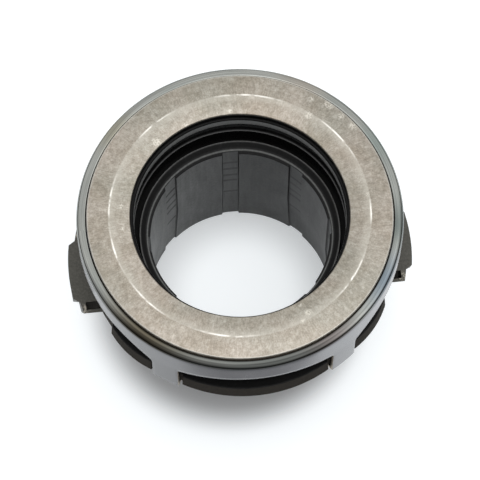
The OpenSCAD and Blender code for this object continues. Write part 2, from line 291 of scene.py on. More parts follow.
# Shape helpers
def arc(centre, radius, start_deg, end_deg, steps):
    """Points of an arc in the plane of radius and height."""
    turn = end_deg - start_deg
    angles = [math.radians(start_deg + turn * i / steps) for i in range(steps + 1)]
    return [(centre[0] + radius * math.cos(a), centre[1] + radius * math.sin(a)) for a in angles]


def rounded(corners, steps):
    """Closed outline in which each (radius, height, fillet) corner becomes an arc of that fillet."""
    outline = []
    count = len(corners)
    for i, (r, z, fillet) in enumerate(corners):
        here = Vector((r, z))
        if fillet == 0:
            outline.append((r, z))
            continue
        before = (Vector(corners[i - 1][:2]) - here).normalized()
        after = (Vector(corners[(i + 1) % count][:2]) - here).normalized()
        half = before.angle(after) / 2
        reach = fillet / math.tan(half)
        middle = here + (before + after).normalized() * (fillet / math.sin(half))
        first = here + before * reach - middle
        last = here + after * reach - middle
        turn = first.angle_signed(last)
        for k in range(steps + 1):
            a = -turn * k / steps
            spoke = Vector((
                first.x * math.cos(a) - first.y * math.sin(a),
                first.x * math.sin(a) + first.y * math.cos(a),
            ))
            outline.append(tuple(middle + spoke))
    return outline


def smooth(value, low, high):
    """Smooth step from 0 to 1."""
    t = min(max((value - low) / (high - low), 0.0), 1.0)
    return t * t * (3 - 2 * t)


def finish_mesh(piece):
    """Smooth shading that keeps the sharp edges sharp."""
    mesh = piece.data
    mesh.polygons.foreach_set("use_smooth", [True] * len(mesh.polygons))
    mesh.set_sharp_from_angle(angle=math.radians(SHARP_DEG))
    mesh.update()


def new_piece(name, points, faces):
    """A mesh object from points in millimetres."""
    mesh = bpy.data.meshes.new(name)
    mesh.from_pydata([tuple(c * MM for c in p) for p in points], [], faces)
    mesh.validate()
    piece = bpy.data.objects.new(name, mesh)
    bpy.context.scene.collection.objects.link(piece)
    return piece


def turned_piece(name, sections):
    """A closed ring through anticlockwise outlines of (radius, height) points, each at its angle about Z."""
    points = []
    faces = []
    for s, (angle, outline) in enumerate(sections):
        points += [(r * math.cos(angle), r * math.sin(angle), z) for r, z in outline]
        count = len(outline)
        here = s * count
        there = (s + 1) % len(sections) * count
        for i in range(count):
            j = (i + 1) % count
            faces.append((here + i, there + i, there + j, here + j))
    return new_piece(name, points, faces)


def lathe(name, outline):
    """A ring of one outline, turned about Z."""
    piece = turned_piece(name, [(2 * math.pi * s / SEGMENTS, outline) for s in range(SEGMENTS)])
    finish_mesh(piece)
    return piece


def loft(work, rings):
    """Adds a closed solid through rings of points in millimetres to a bmesh."""
    levels = [[work.verts.new([c * MM for c in p]) for p in ring] for ring in rings]
    count = len(levels[0])
    for low, high in zip(levels, levels[1:]):
        for i in range(count):
            j = (i + 1) % count
            work.faces.new((low[i], low[j], high[j], high[i]))
    work.faces.new(list(reversed(levels[0])))
    work.faces.new(levels[-1])


def combine(piece, other, operation):
    """Replaces a piece's mesh by its union or difference with another, which is used up."""
    step = piece.modifiers.new("combine", "BOOLEAN")
    step.operation = operation
    step.solver = "EXACT"
    step.use_self = True
    step.object = other
    graph = bpy.context.evaluated_depsgraph_get()
    mesh = bpy.data.meshes.new_from_object(piece.evaluated_get(graph))
    piece.modifiers.clear()
    piece.data = mesh
    bpy.data.objects.remove(other)


def dress(piece, body, node, slot, *materials):
    """Puts a piece on its body in place of a CAD node, with its materials."""
    piece.data.materials.clear()
    for material in materials:
        piece.data.materials.append(material)
    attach(piece, body)
    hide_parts(node)


# Node helpers
def rgb(red, green, blue):
    """An opaque colour."""
    return (red, green, blue, 1.0)


def grey(level, warm=0.0):
    """A grey, warmed or cooled a little."""
    return rgb(level * (1 + warm), level, level * (1 - warm))


class Nodes:
    """Adds nodes to one tree. Each value is a number, a tuple or a socket, and each result is a socket."""

    def __init__(self, tree):
        self.tree = tree

    def plug(self, socket, value):
        """Links a socket, or sets a constant, on an input."""
        if isinstance(value, bpy.types.NodeSocket):
            self.tree.links.new(value, socket)
        else:
            socket.default_value = value

    def calc(self, operation, a, b=0.0):
        """One Math node."""
        node = self.tree.nodes.new("ShaderNodeMath")
        node.operation = operation
        self.plug(node.inputs[0], a)
        self.plug(node.inputs[1], b)
        return node.outputs[0]

    def plus(self, a, b):
        """Sum of two values."""
        return self.calc("ADD", a, b)

    def minus(self, a, b):
        """The first value less the second."""
        return self.calc("SUBTRACT", a, b)

    def most(self, a, b):
        """The greater of two values."""
        return self.calc("MAXIMUM", a, b)

    def times(self, first, *others):
        """Product of values. Of masks, it holds where they all do."""
        found = first
        for other in others:
            found = self.calc("MULTIPLY", found, other)
        return found

    def mix(self, factor, a, b):
        """From one value to another."""
        return self.plus(self.times(factor, self.minus(b, a)), a)

    def vector(self, x, y, z):
        """A vector from its three parts."""
        node = self.tree.nodes.new("ShaderNodeCombineXYZ")
        for socket, value in zip(node.inputs, (x, y, z)):
            self.plug(socket, value)
        return node.outputs[0]

    def split(self, vector):
        """The three parts of a vector."""
        node = self.tree.nodes.new("ShaderNodeSeparateXYZ")
        self.plug(node.inputs[0], vector)
        return node.outputs

    def fade(self, value, span, to=(0.0, 1.0)):
        """Smooth step over a span of the value."""
        node = self.tree.nodes.new("ShaderNodeMapRange")
        node.interpolation_type = "SMOOTHSTEP"
        self.plug(node.inputs["Value"], value)
        node.inputs["From Min"].default_value, node.inputs["From Max"].default_value = span
        node.inputs["To Min"].default_value, node.inputs["To Max"].default_value = to
        return node.outputs[0]

    def fall(self, value, span):
        """Smooth step from 1 down to 0."""
        return self.fade(value, span, to=(1.0, 0.0))

    def band(self, value, middle, half_width):
        """1 at the middle of a band, falling smoothly to 0 at its edges."""
        away = self.calc("ABSOLUTE", self.minus(value, middle))
        return self.fall(away, (0.0, half_width))

    def noise(self, where, scale=1.0, detail=3.0, rough=0.55):
        """Noise between 0 and 1, with features about 1 / scale wide."""
        node = self.tree.nodes.new("ShaderNodeTexNoise")
        self.plug(node.inputs["Vector"], where)
        node.inputs["Scale"].default_value = scale
        node.inputs["Detail"].default_value = detail
        node.inputs["Roughness"].default_value = rough
        return node.outputs[0]

    def ramp(self, factor, *stops):
        """Colour ramp through (position, colour) stops."""
        node = self.tree.nodes.new("ShaderNodeValToRGB")
        self.plug(node.inputs[0], factor)
        elements = node.color_ramp.elements
        while len(elements) < len(stops):
            elements.new(0.5)
        for element, (position, colour) in zip(elements, stops):
            element.position = position
            element.color = colour
        return node.outputs[0]

    def blend(self, factor, a, b, mode="MIX"):
        """Mix of two colours."""
        node = self.tree.nodes.new("ShaderNodeMix")
        node.data_type = "RGBA"
        node.blend_type = mode
        self.plug(node.inputs["Factor"], factor)
        self.plug(node.inputs["A"], a)
        self.plug(node.inputs["B"], b)
        return node.outputs["Result"]

    def over(self, colour, mask, tint, strength=1.0):
        """A colour with a tint laid over it where a mask holds."""
        factor = mask if strength == 1.0 else self.times(mask, strength)
        return self.blend(factor, colour, tint)

    def multiply(self, colour, tint):
        """Product of two colours."""
        return self.blend(1.0, colour, tint, "MULTIPLY")

    def shade(self, colour, value):
        """A colour times a value."""
        return self.multiply(colour, self.vector(value, value, value))


class Paint(Nodes):
    """A new material, with its shader and the place on the part, in millimetres, that its nodes read."""

    def __init__(self, name):
        self.material = bpy.data.materials.new(name)
        self.material.use_nodes = True
        super().__init__(self.material.node_tree)
        self.shader = self.tree.nodes["Principled BSDF"]
        coords = self.tree.nodes.new("ShaderNodeTexCoord")
        scale = self.tree.nodes.new("ShaderNodeVectorMath")
        scale.operation = "SCALE"
        self.plug(scale.inputs[0], coords.outputs["Object"])
        scale.inputs["Scale"].default_value = 1 / MM
        self.where = scale.outputs[0]
        self.x, self.y, self.z = self.split(self.where)
        self.radius = self.length(self.x, self.y)
        self.angle = self.calc("ARCTAN2", self.y, self.x)

    def length(self, x, y):
        """Length of a level step."""
        return self.calc("SQRT", self.plus(self.times(x, x), self.times(y, y)))

    def polar(self, per_radian, along, per_mm, seed=0.0):
        """Place for a texture by angle and by radius or height, each at its own scale."""
        return self.vector(self.times(self.angle, per_radian), self.times(along, per_mm), seed)

    def spots(self, places):
        """1 at the middle of each round spot, given by its radius and angle on the part and its size."""
        found = 0.0
        for spot_r, angle_deg, size in places:
            a = math.radians(angle_deg)
            off_x = self.minus(self.x, spot_r * math.cos(a))
            off_y = self.minus(self.y, spot_r * math.sin(a))
            spot = self.fall(self.length(off_x, off_y), (SPOT_CORE * size, size))
            found = self.most(spot, found)
        return found

    def set(self, socket, value):
        """A value on one of the shader's inputs."""
        self.plug(self.shader.inputs[socket], value)

    def bump(self, height, depth):
        """Bump of a depth in millimetres."""
        node = self.tree.nodes.new("ShaderNodeBump")
        node.inputs["Distance"].default_value = depth * MM
        self.plug(node.inputs["Height"], height)
        self.set("Normal", node.outputs[0])


# Materials
def face_colour(paint, mottle):
    """Mottled ground steel with clouds, stains, a radial hatch, and painted shade towards the right side
    (+X).
    """
    colour = paint.ramp(
        mottle,
        (0.33, rgb(0.245, 0.222, 0.188)),
        (0.50, rgb(0.365, 0.341, 0.298)),
        (0.67, rgb(0.500, 0.478, 0.430)),
    )
    cloud = paint.noise(paint.where, scale=0.07, detail=2.0, rough=0.5)
    tint = paint.ramp(cloud, (0.35, rgb(0.93, 0.94, 0.92)), (0.65, rgb(1.06, 1.02, 1.00)))
    colour = paint.multiply(colour, tint)
    blot = paint.noise(paint.where, scale=0.15, detail=4.0, rough=0.6)
    stain = paint.ramp(blot, (0.36, rgb(0.84, 0.82, 0.79)), (0.56, rgb(1.00, 1.00, 1.00)))
    colour = paint.multiply(colour, stain)
    spokes = paint.noise(paint.polar(90.0, paint.radius, 0.5, seed=5.0), detail=2.0, rough=0.6)
    hatch = paint.fade(spokes, (0.3, 0.7), to=(0.90, 1.10))
    # Painted shade: the face is darkened towards +X.
    painted_shade_to_right = paint.fade(paint.x, (8.0, 34.0), to=(1.0, 0.88))
    return paint.shade(colour, paint.times(hatch, painted_shade_to_right))


def painted_crest_glints(paint):
    """Painted highlight along the burnished crest: a bright line broken by noise and strongest at its glints.
    """
    broken = paint.noise(paint.polar(9.0, paint.radius, 0.6), detail=4.0, rough=0.65)
    glint = 0.0
    for middle_deg, half_deg in CREST_GLINTS:
        stretch = paint.band(paint.angle, math.radians(middle_deg), math.radians(half_deg))
        glint = paint.most(stretch, glint)
    across = paint.band(paint.radius, CREST_R + LINE_OUT, LINE_HALF_W)
    return paint.times(across, paint.fade(broken, (0.36, 0.56)), glint)


def thrust_steel():
    """Thrust ring's steel: mottled face with a burnished crest of painted glints and painted light, painted
    shade on the bore and the other sides below the face, and a brown outer side.
    """
    paint = Paint("thrust_steel")
    rubbed_edge_and_sheen = (FACE_R - 0.4, FACE_R - 0.2)
    below_face = (EDGE_Z - 0.45, EDGE_Z - 0.2)
    near_outside = (FACE_R - 1.0, FACE_R - 0.5)
    blotch = paint.noise(paint.where, scale=0.8, detail=4.0, rough=0.65)
    grain = paint.noise(paint.where, scale=2.6, rough=0.7)
    mottle = paint.plus(paint.times(blotch, 0.5), paint.times(grain, 0.5))
    colour = face_colour(paint, mottle)
    # Painted highlight: a light zone just inside the crest.
    inside = paint.fade(paint.radius, (CREST_R - GLOW_W, CREST_R - GLOW_IN))
    outside = paint.fall(paint.radius, (CREST_R, CREST_R + GLOW_OUT))
    colour = paint.over(colour, paint.times(inside, outside), rgb(0.60, 0.58, 0.52), strength=0.28)
    # Painted glints along the crest; the lower roughness along it below is real burnish.
    line = painted_crest_glints(paint)
    colour = paint.over(colour, line, rgb(0.92, 0.90, 0.84))
    scuffed = paint.times(paint.spots(SCUFFS), paint.fade(grain, (0.42, 0.56)))
    colour = paint.over(colour, scuffed, rgb(0.66, 0.63, 0.56), strength=0.75)
    # The outer edge is lighter: partly worn steel, partly a painted highlight on its rounding.
    colour = paint.over(colour, paint.fade(paint.radius, rubbed_edge_and_sheen), rgb(0.62, 0.60, 0.55), strength=0.6)
    # Painted shade: the ring's bore and its other sides below the face are made near black.
    sides = paint.fall(paint.z, below_face)
    colour = paint.over(colour, sides, rgb(0.014, 0.013, 0.012))
    outer_side = paint.times(sides, paint.fade(paint.radius, near_outside))
    colour = paint.over(colour, outer_side, rgb(0.16, 0.14, 0.11))
    paint.set("Base Color", colour)
    paint.set("Metallic", paint.minus(1.0, outer_side))
    rough = paint.plus(paint.times(mottle, 0.30), 0.28)
    paint.set("Roughness", paint.minus(rough, paint.times(line, 0.10)))
    paint.bump(mottle, depth=0.03)
    return paint.material


def lip_colour(paint):
    """Oxide on the lip: temper colours, turned streaks, and painted shade in front with a painted highlight
    line across it.
    """
    wander = paint.noise(paint.polar(2.2, paint.radius, 0.25, seed=3.0))
    oxide = paint.ramp(wander, (0.35, rgb(0.262, 0.276, 0.260)), (0.65, rgb(0.322, 0.328, 0.308)))
    for middle_deg, half_deg, tint in TEMPERS:
        patch = paint.band(paint.angle, math.radians(middle_deg), math.radians(half_deg))
        oxide = paint.over(oxide, patch, tint)
    # Painted shade on the lip in front, with a painted highlight line across it.
    from_front = paint.calc("ABSOLUTE", paint.minus(paint.angle, math.radians(FRONT_SHADE_DEG)))
    front_shade = paint.fall(from_front, (math.radians(FRONT_SHADE_FULL_DEG), math.radians(FRONT_SHADE_END_DEG)))
    light = paint.band(paint.radius, LIP_IN_R + LIP_HIGHLIGHT_IN, LIP_HIGHLIGHT_HALF_W)
    front_shade_across = paint.fade(light, (0.0, 1.0), to=(0.18, 0.55))
    streak = paint.noise(paint.polar(1.2, paint.radius, 3.0, seed=7.0), rough=0.6)
    streak = paint.fade(streak, (0.35, 0.65), to=(0.75, 1.12))
    return paint.shade(oxide, paint.times(streak, paint.mix(front_shade, 1.0, front_shade_across)))


def cover_steel():
    """Cover's sheet: grey wall with painted light to the right and painted shade on the legs, oxidised lip
    with painted shade and a painted highlight in front, and painted shade inside.
    """
    paint = Paint("cover_steel")
    bend = (LIP_TOP - 1.0, LIP_TOP - 0.35)
    left_to_right = (-30.0, 30.0)
    leg_start = (LIP_TOP - 10.0, LIP_TOP - 7.5)
    sheet_middle = (COVER_R - 0.55, COVER_R - 0.35)
    below_lip = (LIP_TOP - 1.6, LIP_TOP - 1.3)
    above_hook = (HOOK_BOTTOM + 0.4, HOOK_BOTTOM + 0.6)
    smear = paint.noise(paint.where, scale=0.16, rough=0.5)
    wall = paint.ramp(smear, (0.30, rgb(0.115, 0.117, 0.125)), (0.70, rgb(0.160, 0.160, 0.168)))
    # Painted light and shade on the wall: lighter towards +X, and darker on the legs.
    painted_light_to_right = paint.fade(paint.x, left_to_right, to=(0.68, 1.30))
    painted_shade_on_legs = paint.fade(paint.z, leg_start, to=(0.86, 1.0))
    wall = paint.shade(wall, paint.times(painted_light_to_right, painted_shade_on_legs))
    lip = paint.fade(paint.z, bend)
    colour = paint.over(wall, lip, lip_colour(paint))
    # Painted shade: the inside of the sheet is made near black.
    painted_inside = paint.times(
        paint.fall(paint.radius, sheet_middle),
        paint.fall(paint.z, below_lip),
        paint.fade(paint.z, above_hook),
    )
    colour = paint.over(colour, painted_inside, rgb(0.014, 0.012, 0.010))
    paint.set("Base Color", colour)
    paint.set("Metallic", 1.0)
    base_rough = paint.fade(lip, (0.0, 1.0), to=(0.17, 0.09))
    paint.set("Roughness", paint.plus(paint.times(smear, 0.14), base_rough))
    paint.bump(paint.noise(paint.where, scale=2.5, detail=2.0), depth=0.003)
    return paint.material


def cut_steel():
    """Torn, rusty steel of the cover's cut edges."""
    paint = Paint("cut_steel")
    torn = paint.noise(paint.where, scale=2.2, detail=4.0, rough=0.65)
    paint.set("Base Color", paint.ramp(torn, (0.35, rgb(0.20, 0.17, 0.13)), (0.65, rgb(0.62, 0.56, 0.46))))
    paint.set("Metallic", 1.0)
    paint.set("Roughness", paint.fade(torn, (0.2, 0.8), to=(0.3, 0.6)))
    paint.bump(torn, depth=0.05)
    return paint.material


def groove_edge_shade_and_lines(paint):
    """Painted shade along the edges of the grease grooves, and fine dark lines across their floors."""
    pitch = 2 * math.pi / GROOVES
    half = math.asin(GROOVE_W / 2 / BORE_R)
    turn = paint.calc("PINGPONG", paint.angle, pitch / 2)
    # Painted shade at the grooves' edges.
    edges = paint.band(turn, half, GROOVE_ROUND / BORE_R)
    groove_floor = paint.fall(turn, (half - GROOVE_EDGE_RAD, half))
    lines = 0.0
    for height in GROOVE_LINES:
        away = paint.calc("ABSOLUTE", paint.minus(paint.z, height))
        lines = paint.most(paint.fall(away, GROOVE_LINE_EDGE), lines)
    return paint.most(edges, paint.times(groove_floor, lines))


def bore_mask(paint):
    """Where the bore is, with its grooves, which run out in the lead-in's lower cone."""
    behind_cone = (0.03, 0.15)
    below_kink = (LEAD_Z + 0.8, LEAD_Z + 1.0)
    up_cone = paint.times(paint.minus(paint.z, LEAD_Z), STEEP_W / STEEP_H)
    past_cone = paint.minus(paint.minus(paint.radius, BORE_R), up_cone)
    return paint.times(
        paint.fall(paint.radius, WALL_MIDDLE),
        paint.fade(past_cone, behind_cone),
        paint.fall(paint.z, below_kink),
    )


def bore_colour(paint):
    """Bore worn in streaks along its length, with painted light towards the left."""
    streaks = paint.noise(paint.polar(14.0, paint.z, 0.08), detail=4.0, rough=0.6)
    worn = paint.ramp(streaks, (0.30, rgb(0.034, 0.035, 0.035)), (0.70, rgb(0.058, 0.060, 0.059)))
    # Painted light: the bore is lighter towards -X.
    return paint.shade(worn, paint.fade(paint.x, (-22.0, 10.0), to=(3.8, 1.1)))


def lug_colour(paint, colour, fibre):
    """Adds the lighter lugs, with worn top edges that also carry a painted highlight."""
    above_lug = (LUG_TOP + 0.3, LUG_TOP + 0.8)
    top_edge = (LUG_TOP - 1.2, LUG_TOP - 0.4)
    lug = paint.times(paint.fade(paint.radius, LUG_START), paint.fall(paint.z, above_lug))
    colour = paint.over(colour, lug, rgb(0.108, 0.105, 0.092))
    # The lugs' top edges are lighter at these spots: partly wear, partly a painted highlight.
    rubbed_and_lit = paint.times(
        lug,
        paint.spots(LUG_RUBS_AND_SHEEN),
        paint.fade(fibre, (0.40, 0.60)),
        paint.fade(paint.z, top_edge),
    )
    return paint.over(colour, rubbed_and_lit, rgb(0.42, 0.39, 0.33))


def mouth_shade_and_highlights(paint, colour, in_bore):
    """Adds painted shade on the lead-in's lower cone, and painted highlights at its kink and at the rim."""
    above_mouth = (LEAD_Z - 0.1, LEAD_Z + 0.2)
    past_steep = (STEEP_R, STEEP_R + 0.4)
    rim_top = (SLEEVE_TOP - 0.5, SLEEVE_TOP - 0.2)
    rim_half_w = 0.6
    kink_half_h = 0.36
    past_kink = (STEEP_R + 0.8, STEEP_R + 1.2)
    # Painted shade on the lead-in's lower cone.
    lead_shade = paint.times(
        paint.fade(paint.z, above_mouth),
        paint.fall(paint.radius, past_steep),
        paint.minus(1.0, in_bore),
    )
    colour = paint.over(colour, lead_shade, grey(0.030))
    # Painted highlights at the rim and at the kink.
    rim = paint.times(paint.fade(paint.z, rim_top), paint.band(paint.radius, SLEEVE_R, rim_half_w))
    colour = paint.over(colour, rim, rgb(0.165, 0.165, 0.162))
    kink = paint.times(
        paint.band(paint.z, STEEP_TOP - kink_half_h, kink_half_h),
        paint.fall(paint.radius, past_kink),
    )
    return paint.over(colour, kink, rgb(0.22, 0.225, 0.22))


def sleeve_plastic():
    """Sleeve's glass-filled plastic: worn bore with painted light to the left and painted shade at its groove
    edges, black flange, browner guard pads, lighter lugs with painted highlights on their worn top edges, and
    painted shade and highlights at the mouth.
    """
    paint = Paint("sleeve_plastic")
    at_flange = (FLANGE_Z - 0.5, FLANGE_Z)
    guard_top = (FLANGE_TOP - 0.3, FLANGE_TOP - 0.1)
    fibre = paint.noise(paint.where, scale=1.6, detail=4.0, rough=0.65)
    cloud = paint.noise(paint.where, scale=0.12, detail=2.0)
    in_bore = bore_mask(paint)
    colour = paint.over(grey(0.010), in_bore, bore_colour(paint))
    colour = paint.over(colour, paint.times(in_bore, groove_edge_shade_and_lines(paint)), grey(0.002))
    outside = paint.times(paint.fade(paint.radius, WALL_MIDDLE), paint.fall(paint.z, at_flange))
    colour = paint.over(colour, outside, rgb(0.030, 0.030, 0.029))
    guard = paint.times(
        paint.fade(paint.radius, GUARD_START),
        paint.fade(paint.z, at_flange),
        paint.fall(paint.z, guard_top),
    )
    colour = paint.over(colour, guard, rgb(0.029, 0.025, 0.020))
    colour = lug_colour(paint, colour, fibre)
    colour = mouth_shade_and_highlights(paint, colour, in_bore)
    paint.set("Base Color", paint.shade(colour, paint.fade(fibre, (0.25, 0.75), to=(0.80, 1.20))))
    paint.set("Specular IOR Level", 0.15)
    rough = paint.plus(paint.times(cloud, 0.18), 0.34)
    paint.set("Roughness", paint.plus(rough, paint.times(guard, 0.40)))
    paint.bump(fibre, depth=0.03)
    return paint.material


def seal_rubber():
    """Black rubber, with a painted highlight at the lower lip's tip and a painted reflection on the upper
    lip's face.
    """
    paint = Paint("seal_rubber")
    lip_start = (SEAL_LIP_Z, SEAL_LIP_Z + 0.3)
    lip_end = (SEAL_TOP - 0.45, SEAL_TOP - 0.2)
    lip_front = (SEAL_LIP_R + 0.1, SEAL_LIP_R + 0.3)
    fine = paint.noise(paint.where, scale=2.0)
    colour = paint.ramp(fine, (0.3, grey(0.003)), (0.7, grey(0.006)))
    # Painted highlight at the lower lip's tip.
    tip = paint.times(
        paint.band(paint.z, HEEL_MIDDLE, TIP_HIGHLIGHT_HALF_W),
        paint.band(paint.radius, SEAL_LIP_R, TIP_HIGHLIGHT_HALF_W),
    )
    colour = paint.over(colour, tip, grey(0.20))
    # Painted reflection on the upper lip's inner face.
    upper = paint.times(
        paint.fade(paint.z, lip_start),
        paint.fall(paint.z, lip_end),
        paint.fall(paint.radius, lip_front),
    )
    colour = paint.over(colour, upper, rgb(0.225, 0.229, 0.227))
    paint.set("Base Color", colour)
    paint.set("Specular IOR Level", 0.1)
    paint.set("Roughness", paint.fade(fine, (0.2, 0.8), to=(0.22, 0.4)))
    paint.bump(fine, depth=0.01)
    return paint.material


def plain_metal(name, dark, light, scale, rough, depth=0.004):
    """A metal with a faint noise in its colour and gloss."""
    paint = Paint(name)
    fine = paint.noise(paint.where, scale)
    paint.set("Base Color", paint.ramp(fine, (0.3, dark), (0.7, light)))
    paint.set("Metallic", 1.0)
    paint.set("Roughness", paint.fade(fine, (0.2, 0.8), to=rough))
    paint.bump(fine, depth)
    return paint.material


def cage_plastic():
    """Natural polyamide."""
    paint = Paint("cage_plastic")
    fine = paint.noise(paint.where, scale=1.2)
    paint.set("Base Color", paint.ramp(fine, (0.3, rgb(0.46, 0.34, 0.17)), (0.7, rgb(0.58, 0.45, 0.25))))
    paint.set("Roughness", paint.fade(fine, (0.2, 0.8), to=(0.4, 0.55)))
    return paint.material


RACE_DARK = rgb(0.030, 0.034, 0.046)
RACE_LIGHT = rgb(0.075, 0.082, 0.105)
MATERIALS = {
    "seal_rubber": seal_rubber(),
    "cage_plastic": cage_plastic(),
    "race_steel": plain_metal("race_steel", RACE_DARK, RACE_LIGHT, 0.6, (0.28, 0.5), depth=0.01),
    "spring_steel": plain_metal("spring_steel", grey(0.10), grey(0.16), 1.0, (0.3, 0.5)),
    "ball_steel": plain_metal("ball_steel", grey(0.50, -0.02), grey(0.60, -0.02), 0.5, (0.06, 0.14)),
}


# Thrust ring and its seal
def thrust_ring():
    """Turned ring with its crowned face, its rounded edges and the inner half of the ball track."""
    seat_r = RING_BORE_R + SEAT_DEPTH
    seat_top = FACE_Z - SEAT_DROP
    face_under = FACE_Z - FACE_T
    track_r = BALL_R + RACE_CLEAR
    reach_deg = math.degrees(math.acos((BALL_MIDDLE.x - HUB_R) / track_r))
    track_c = (BALL_MIDDLE.x, BALL_MIDDLE.z)
    track = arc(track_c, track_r, 180 + reach_deg, 180 - reach_deg, TRACK_STEPS)
    corners = [(seat_r, seat_top, 0), (seat_r, HUB_Z, 0), (HUB_R, HUB_Z, HUB_ROUND)]
    corners += [(r, z, 0) for r, z in track]
    corners += [
        (HUB_R, face_under, HUB_ROUND),
        (FACE_R, face_under, HUB_ROUND),
        (FACE_R, EDGE_Z, EDGE_R),
        (CREST_R + CREST_W / 2, FACE_Z, 0),
        (CREST_R - CREST_W / 2, FACE_Z, 0),
        (RING_BORE_R, EDGE_Z, BORE_EDGE_R),
        (RING_BORE_R, seat_top, 0),
    ]
    piece = lathe("thrust_ring_turned", rounded(corners, RING_FILLET_STEPS))
    dress(piece, "thrust_unit", "thrust_ring", "thrust_steel", thrust_steel())


def inner_seal():
    """Rubber lining with an upper lip, a lower lip and rounded edges."""
    corners = [
        (SEAL_BACK_R, SEAL_LOW, BACK_ROUND),
        (SEAL_BACK_R, SEAL_TOP, BACK_ROUND),
        (SEAL_LIP_R, SEAL_TOP, LIP_ROUND),
        (SEAL_LIP_R, SEAL_LIP_Z, LIP_ROUND),
        (RING_BORE_R, SEAL_LIP_Z, LIP_ROOT_ROUND),
        (RING_BORE_R, HEEL_MIDDLE + HEEL_H / 2, HEEL_ROOT_ROUND),
        (SEAL_LIP_R, HEEL_MIDDLE, HEEL_ROUND),
        (RING_BORE_R, HEEL_MIDDLE - HEEL_H / 2, HEEL_ROOT_ROUND),
        (RING_BORE_R, SEAL_LOW, BACK_ROUND),
    ]
    piece = lathe("inner_seal_moulded", rounded(corners, SEAL_FILLET_STEPS))
    dress(piece, "thrust_unit", "inner_seal", "seal_rubber", MATERIALS["seal_rubber"])


# Cover
def half_leg_deg():
    """Half of the angle that a leg takes up."""
    return math.degrees(math.asin(LEG_W / 2 / COVER_R))


def window_edge(angle_deg):
    """Height of the cover's window edge at an angle, without the corner fillets."""
    folded = abs((angle_deg + 90) % 180 - 90)
    if folded > LEG_DEG:
        off = COVER_R * math.sin(math.radians(90 - folded))
        end = COVER_R * math.sin(math.radians(90 - LEG_DEG - half_leg_deg()))
        level = CROWN_W / 2
        width = end - level
        radius = (width * width + ARCH_DROP * ARCH_DROP) / (2 * ARCH_DROP)
    else:
        off = COVER_R * math.sin(math.radians(folded))
        end = COVER_R * math.sin(math.radians(LEG_DEG - half_leg_deg()))
        level = end - SIDE_END_W
        radius = SIDE_END_R
    past = min(max(off - level, 0.0), end - level)
    return LIP_TOP - WALL_H - radius + math.sqrt(radius * radius - past * past)


def cover_columns():
    """Angles round the cover, with the window edge's height and whether a column is on a leg."""
    half_leg = half_leg_deg()
    fillet_deg = math.degrees(CORNER_R / COVER_R)
    legs = [LEG_DEG, 180 - LEG_DEG, 180 + LEG_DEG, 360 - LEG_DEG]
    columns = []
    for leg, next_leg in zip(legs, legs[1:] + [legs[0] + 360]):
        start = leg + half_leg
        end = next_leg - half_leg
        for k in range(LEG_STEPS + 1):
            angle = leg - half_leg + 2 * half_leg * k / LEG_STEPS
            corner = start if k > LEG_STEPS / 2 else leg - half_leg
            columns.append((angle, window_edge(corner) - CORNER_R, True))
        inner = [start + fillet_deg * share for share in CORNER_SHARES]
        inner += [start + (end - start) * k / WINDOW_STEPS for k in range(2, WINDOW_STEPS - 1)]
        inner += [end - fillet_deg * share for share in reversed(CORNER_SHARES)]
        for angle in inner:
            from_leg = math.radians(min(angle - start, end - angle)) * COVER_R
            short = max(CORNER_R - from_leg, 0.0)
            drop = CORNER_R - math.sqrt(CORNER_R * CORNER_R - short * short)
            columns.append((angle, window_edge(angle) - drop, False))
    return columns


def cover():
    """Pressed sheet cover: lip, bend, wall with windows, and four legs with hooks."""
    bend_c = COVER_R - BEND_R
    wall_top = LIP_TOP - BEND_R
    leg_low = HOOK_BOTTOM + BEND_R
    head = [(LIP_IN_R, LIP_TOP), (LIP_IN_R + LIP_ROW_IN, LIP_TOP), (bend_c - LIP_ROW_OUT, LIP_TOP)]
    head += arc((bend_c, wall_top), BEND_R, 90, 0, BEND_STEPS)
    foot = arc((bend_c, leg_low), BEND_R, 0, -90, BEND_STEPS)
    foot += [(bend_c - HOOK_ROW_OUT, HOOK_BOTTOM), (HOOK_IN_R, HOOK_BOTTOM)]
    points = []
    rows = []
    for angle_deg, edge, on_leg in cover_columns():
        a = math.radians(angle_deg)
        profile = list(head)
        profile += [(COVER_R, wall_top + (edge - wall_top) * k / WALL_ROWS) for k in range(1, WALL_ROWS + 1)]
        if on_leg:
            profile += [(COVER_R, edge + (leg_low - edge) * k / LEG_ROWS) for k in range(1, LEG_ROWS)]
            profile += foot
        rows.append([len(points) + k for k in range(len(profile))])
        points += [(r * math.cos(a), r * math.sin(a), z) for r, z in profile]
    faces = []
    for left, right in zip(rows, rows[1:] + rows[:1]):
        for k in range(min(len(left), len(right)) - 1):
            faces.append((left[k], left[k + 1], right[k + 1], right[k]))
    piece = new_piece("cover_pressed", points, faces)
    solid = piece.modifiers.new("sheet", "SOLIDIFY")
    solid.thickness = SHEET * MM
    solid.offset = -1.0
    solid.use_even_offset = True
    solid.material_offset_rim = 1
    bevel = piece.modifiers.new("edges", "BEVEL")
    bevel.width = CUT_BEVEL * MM
    bevel.segments = CUT_BEVEL_STEPS
    bevel.limit_method = "ANGLE"
    bevel.angle_limit = math.radians(CUT_BEVEL_DEG)
    finish_mesh(piece)
    dress(piece, "housing", "cover", "cover_steel", cover_steel(), cut_steel())


# Guide sleeve
def pad_spans():
    """Start and end angles of the six guard pads, and how far off the axis each one's arc is centred."""
    gap = math.degrees(math.asin((LEG_W / 2 + FLOAT_ROOM) / (COVER_R - SHEET)))
    end = LEG_DEG - gap
    half = 90 - LEG_DEG - gap
    sides = [(PAD_START_DEG, end), (180 - end, 180 - PAD_START_DEG)]
    sides += [(180 + start, 180 + stop) for start, stop in sides]
    fronts = [(90 - half, 90 + half), (270 - half, 270 + half)]
    return [(*span, SIDE_PAD_OFF) for span in sides] + [(*span, FRONT_PAD_OFF) for span in fronts]


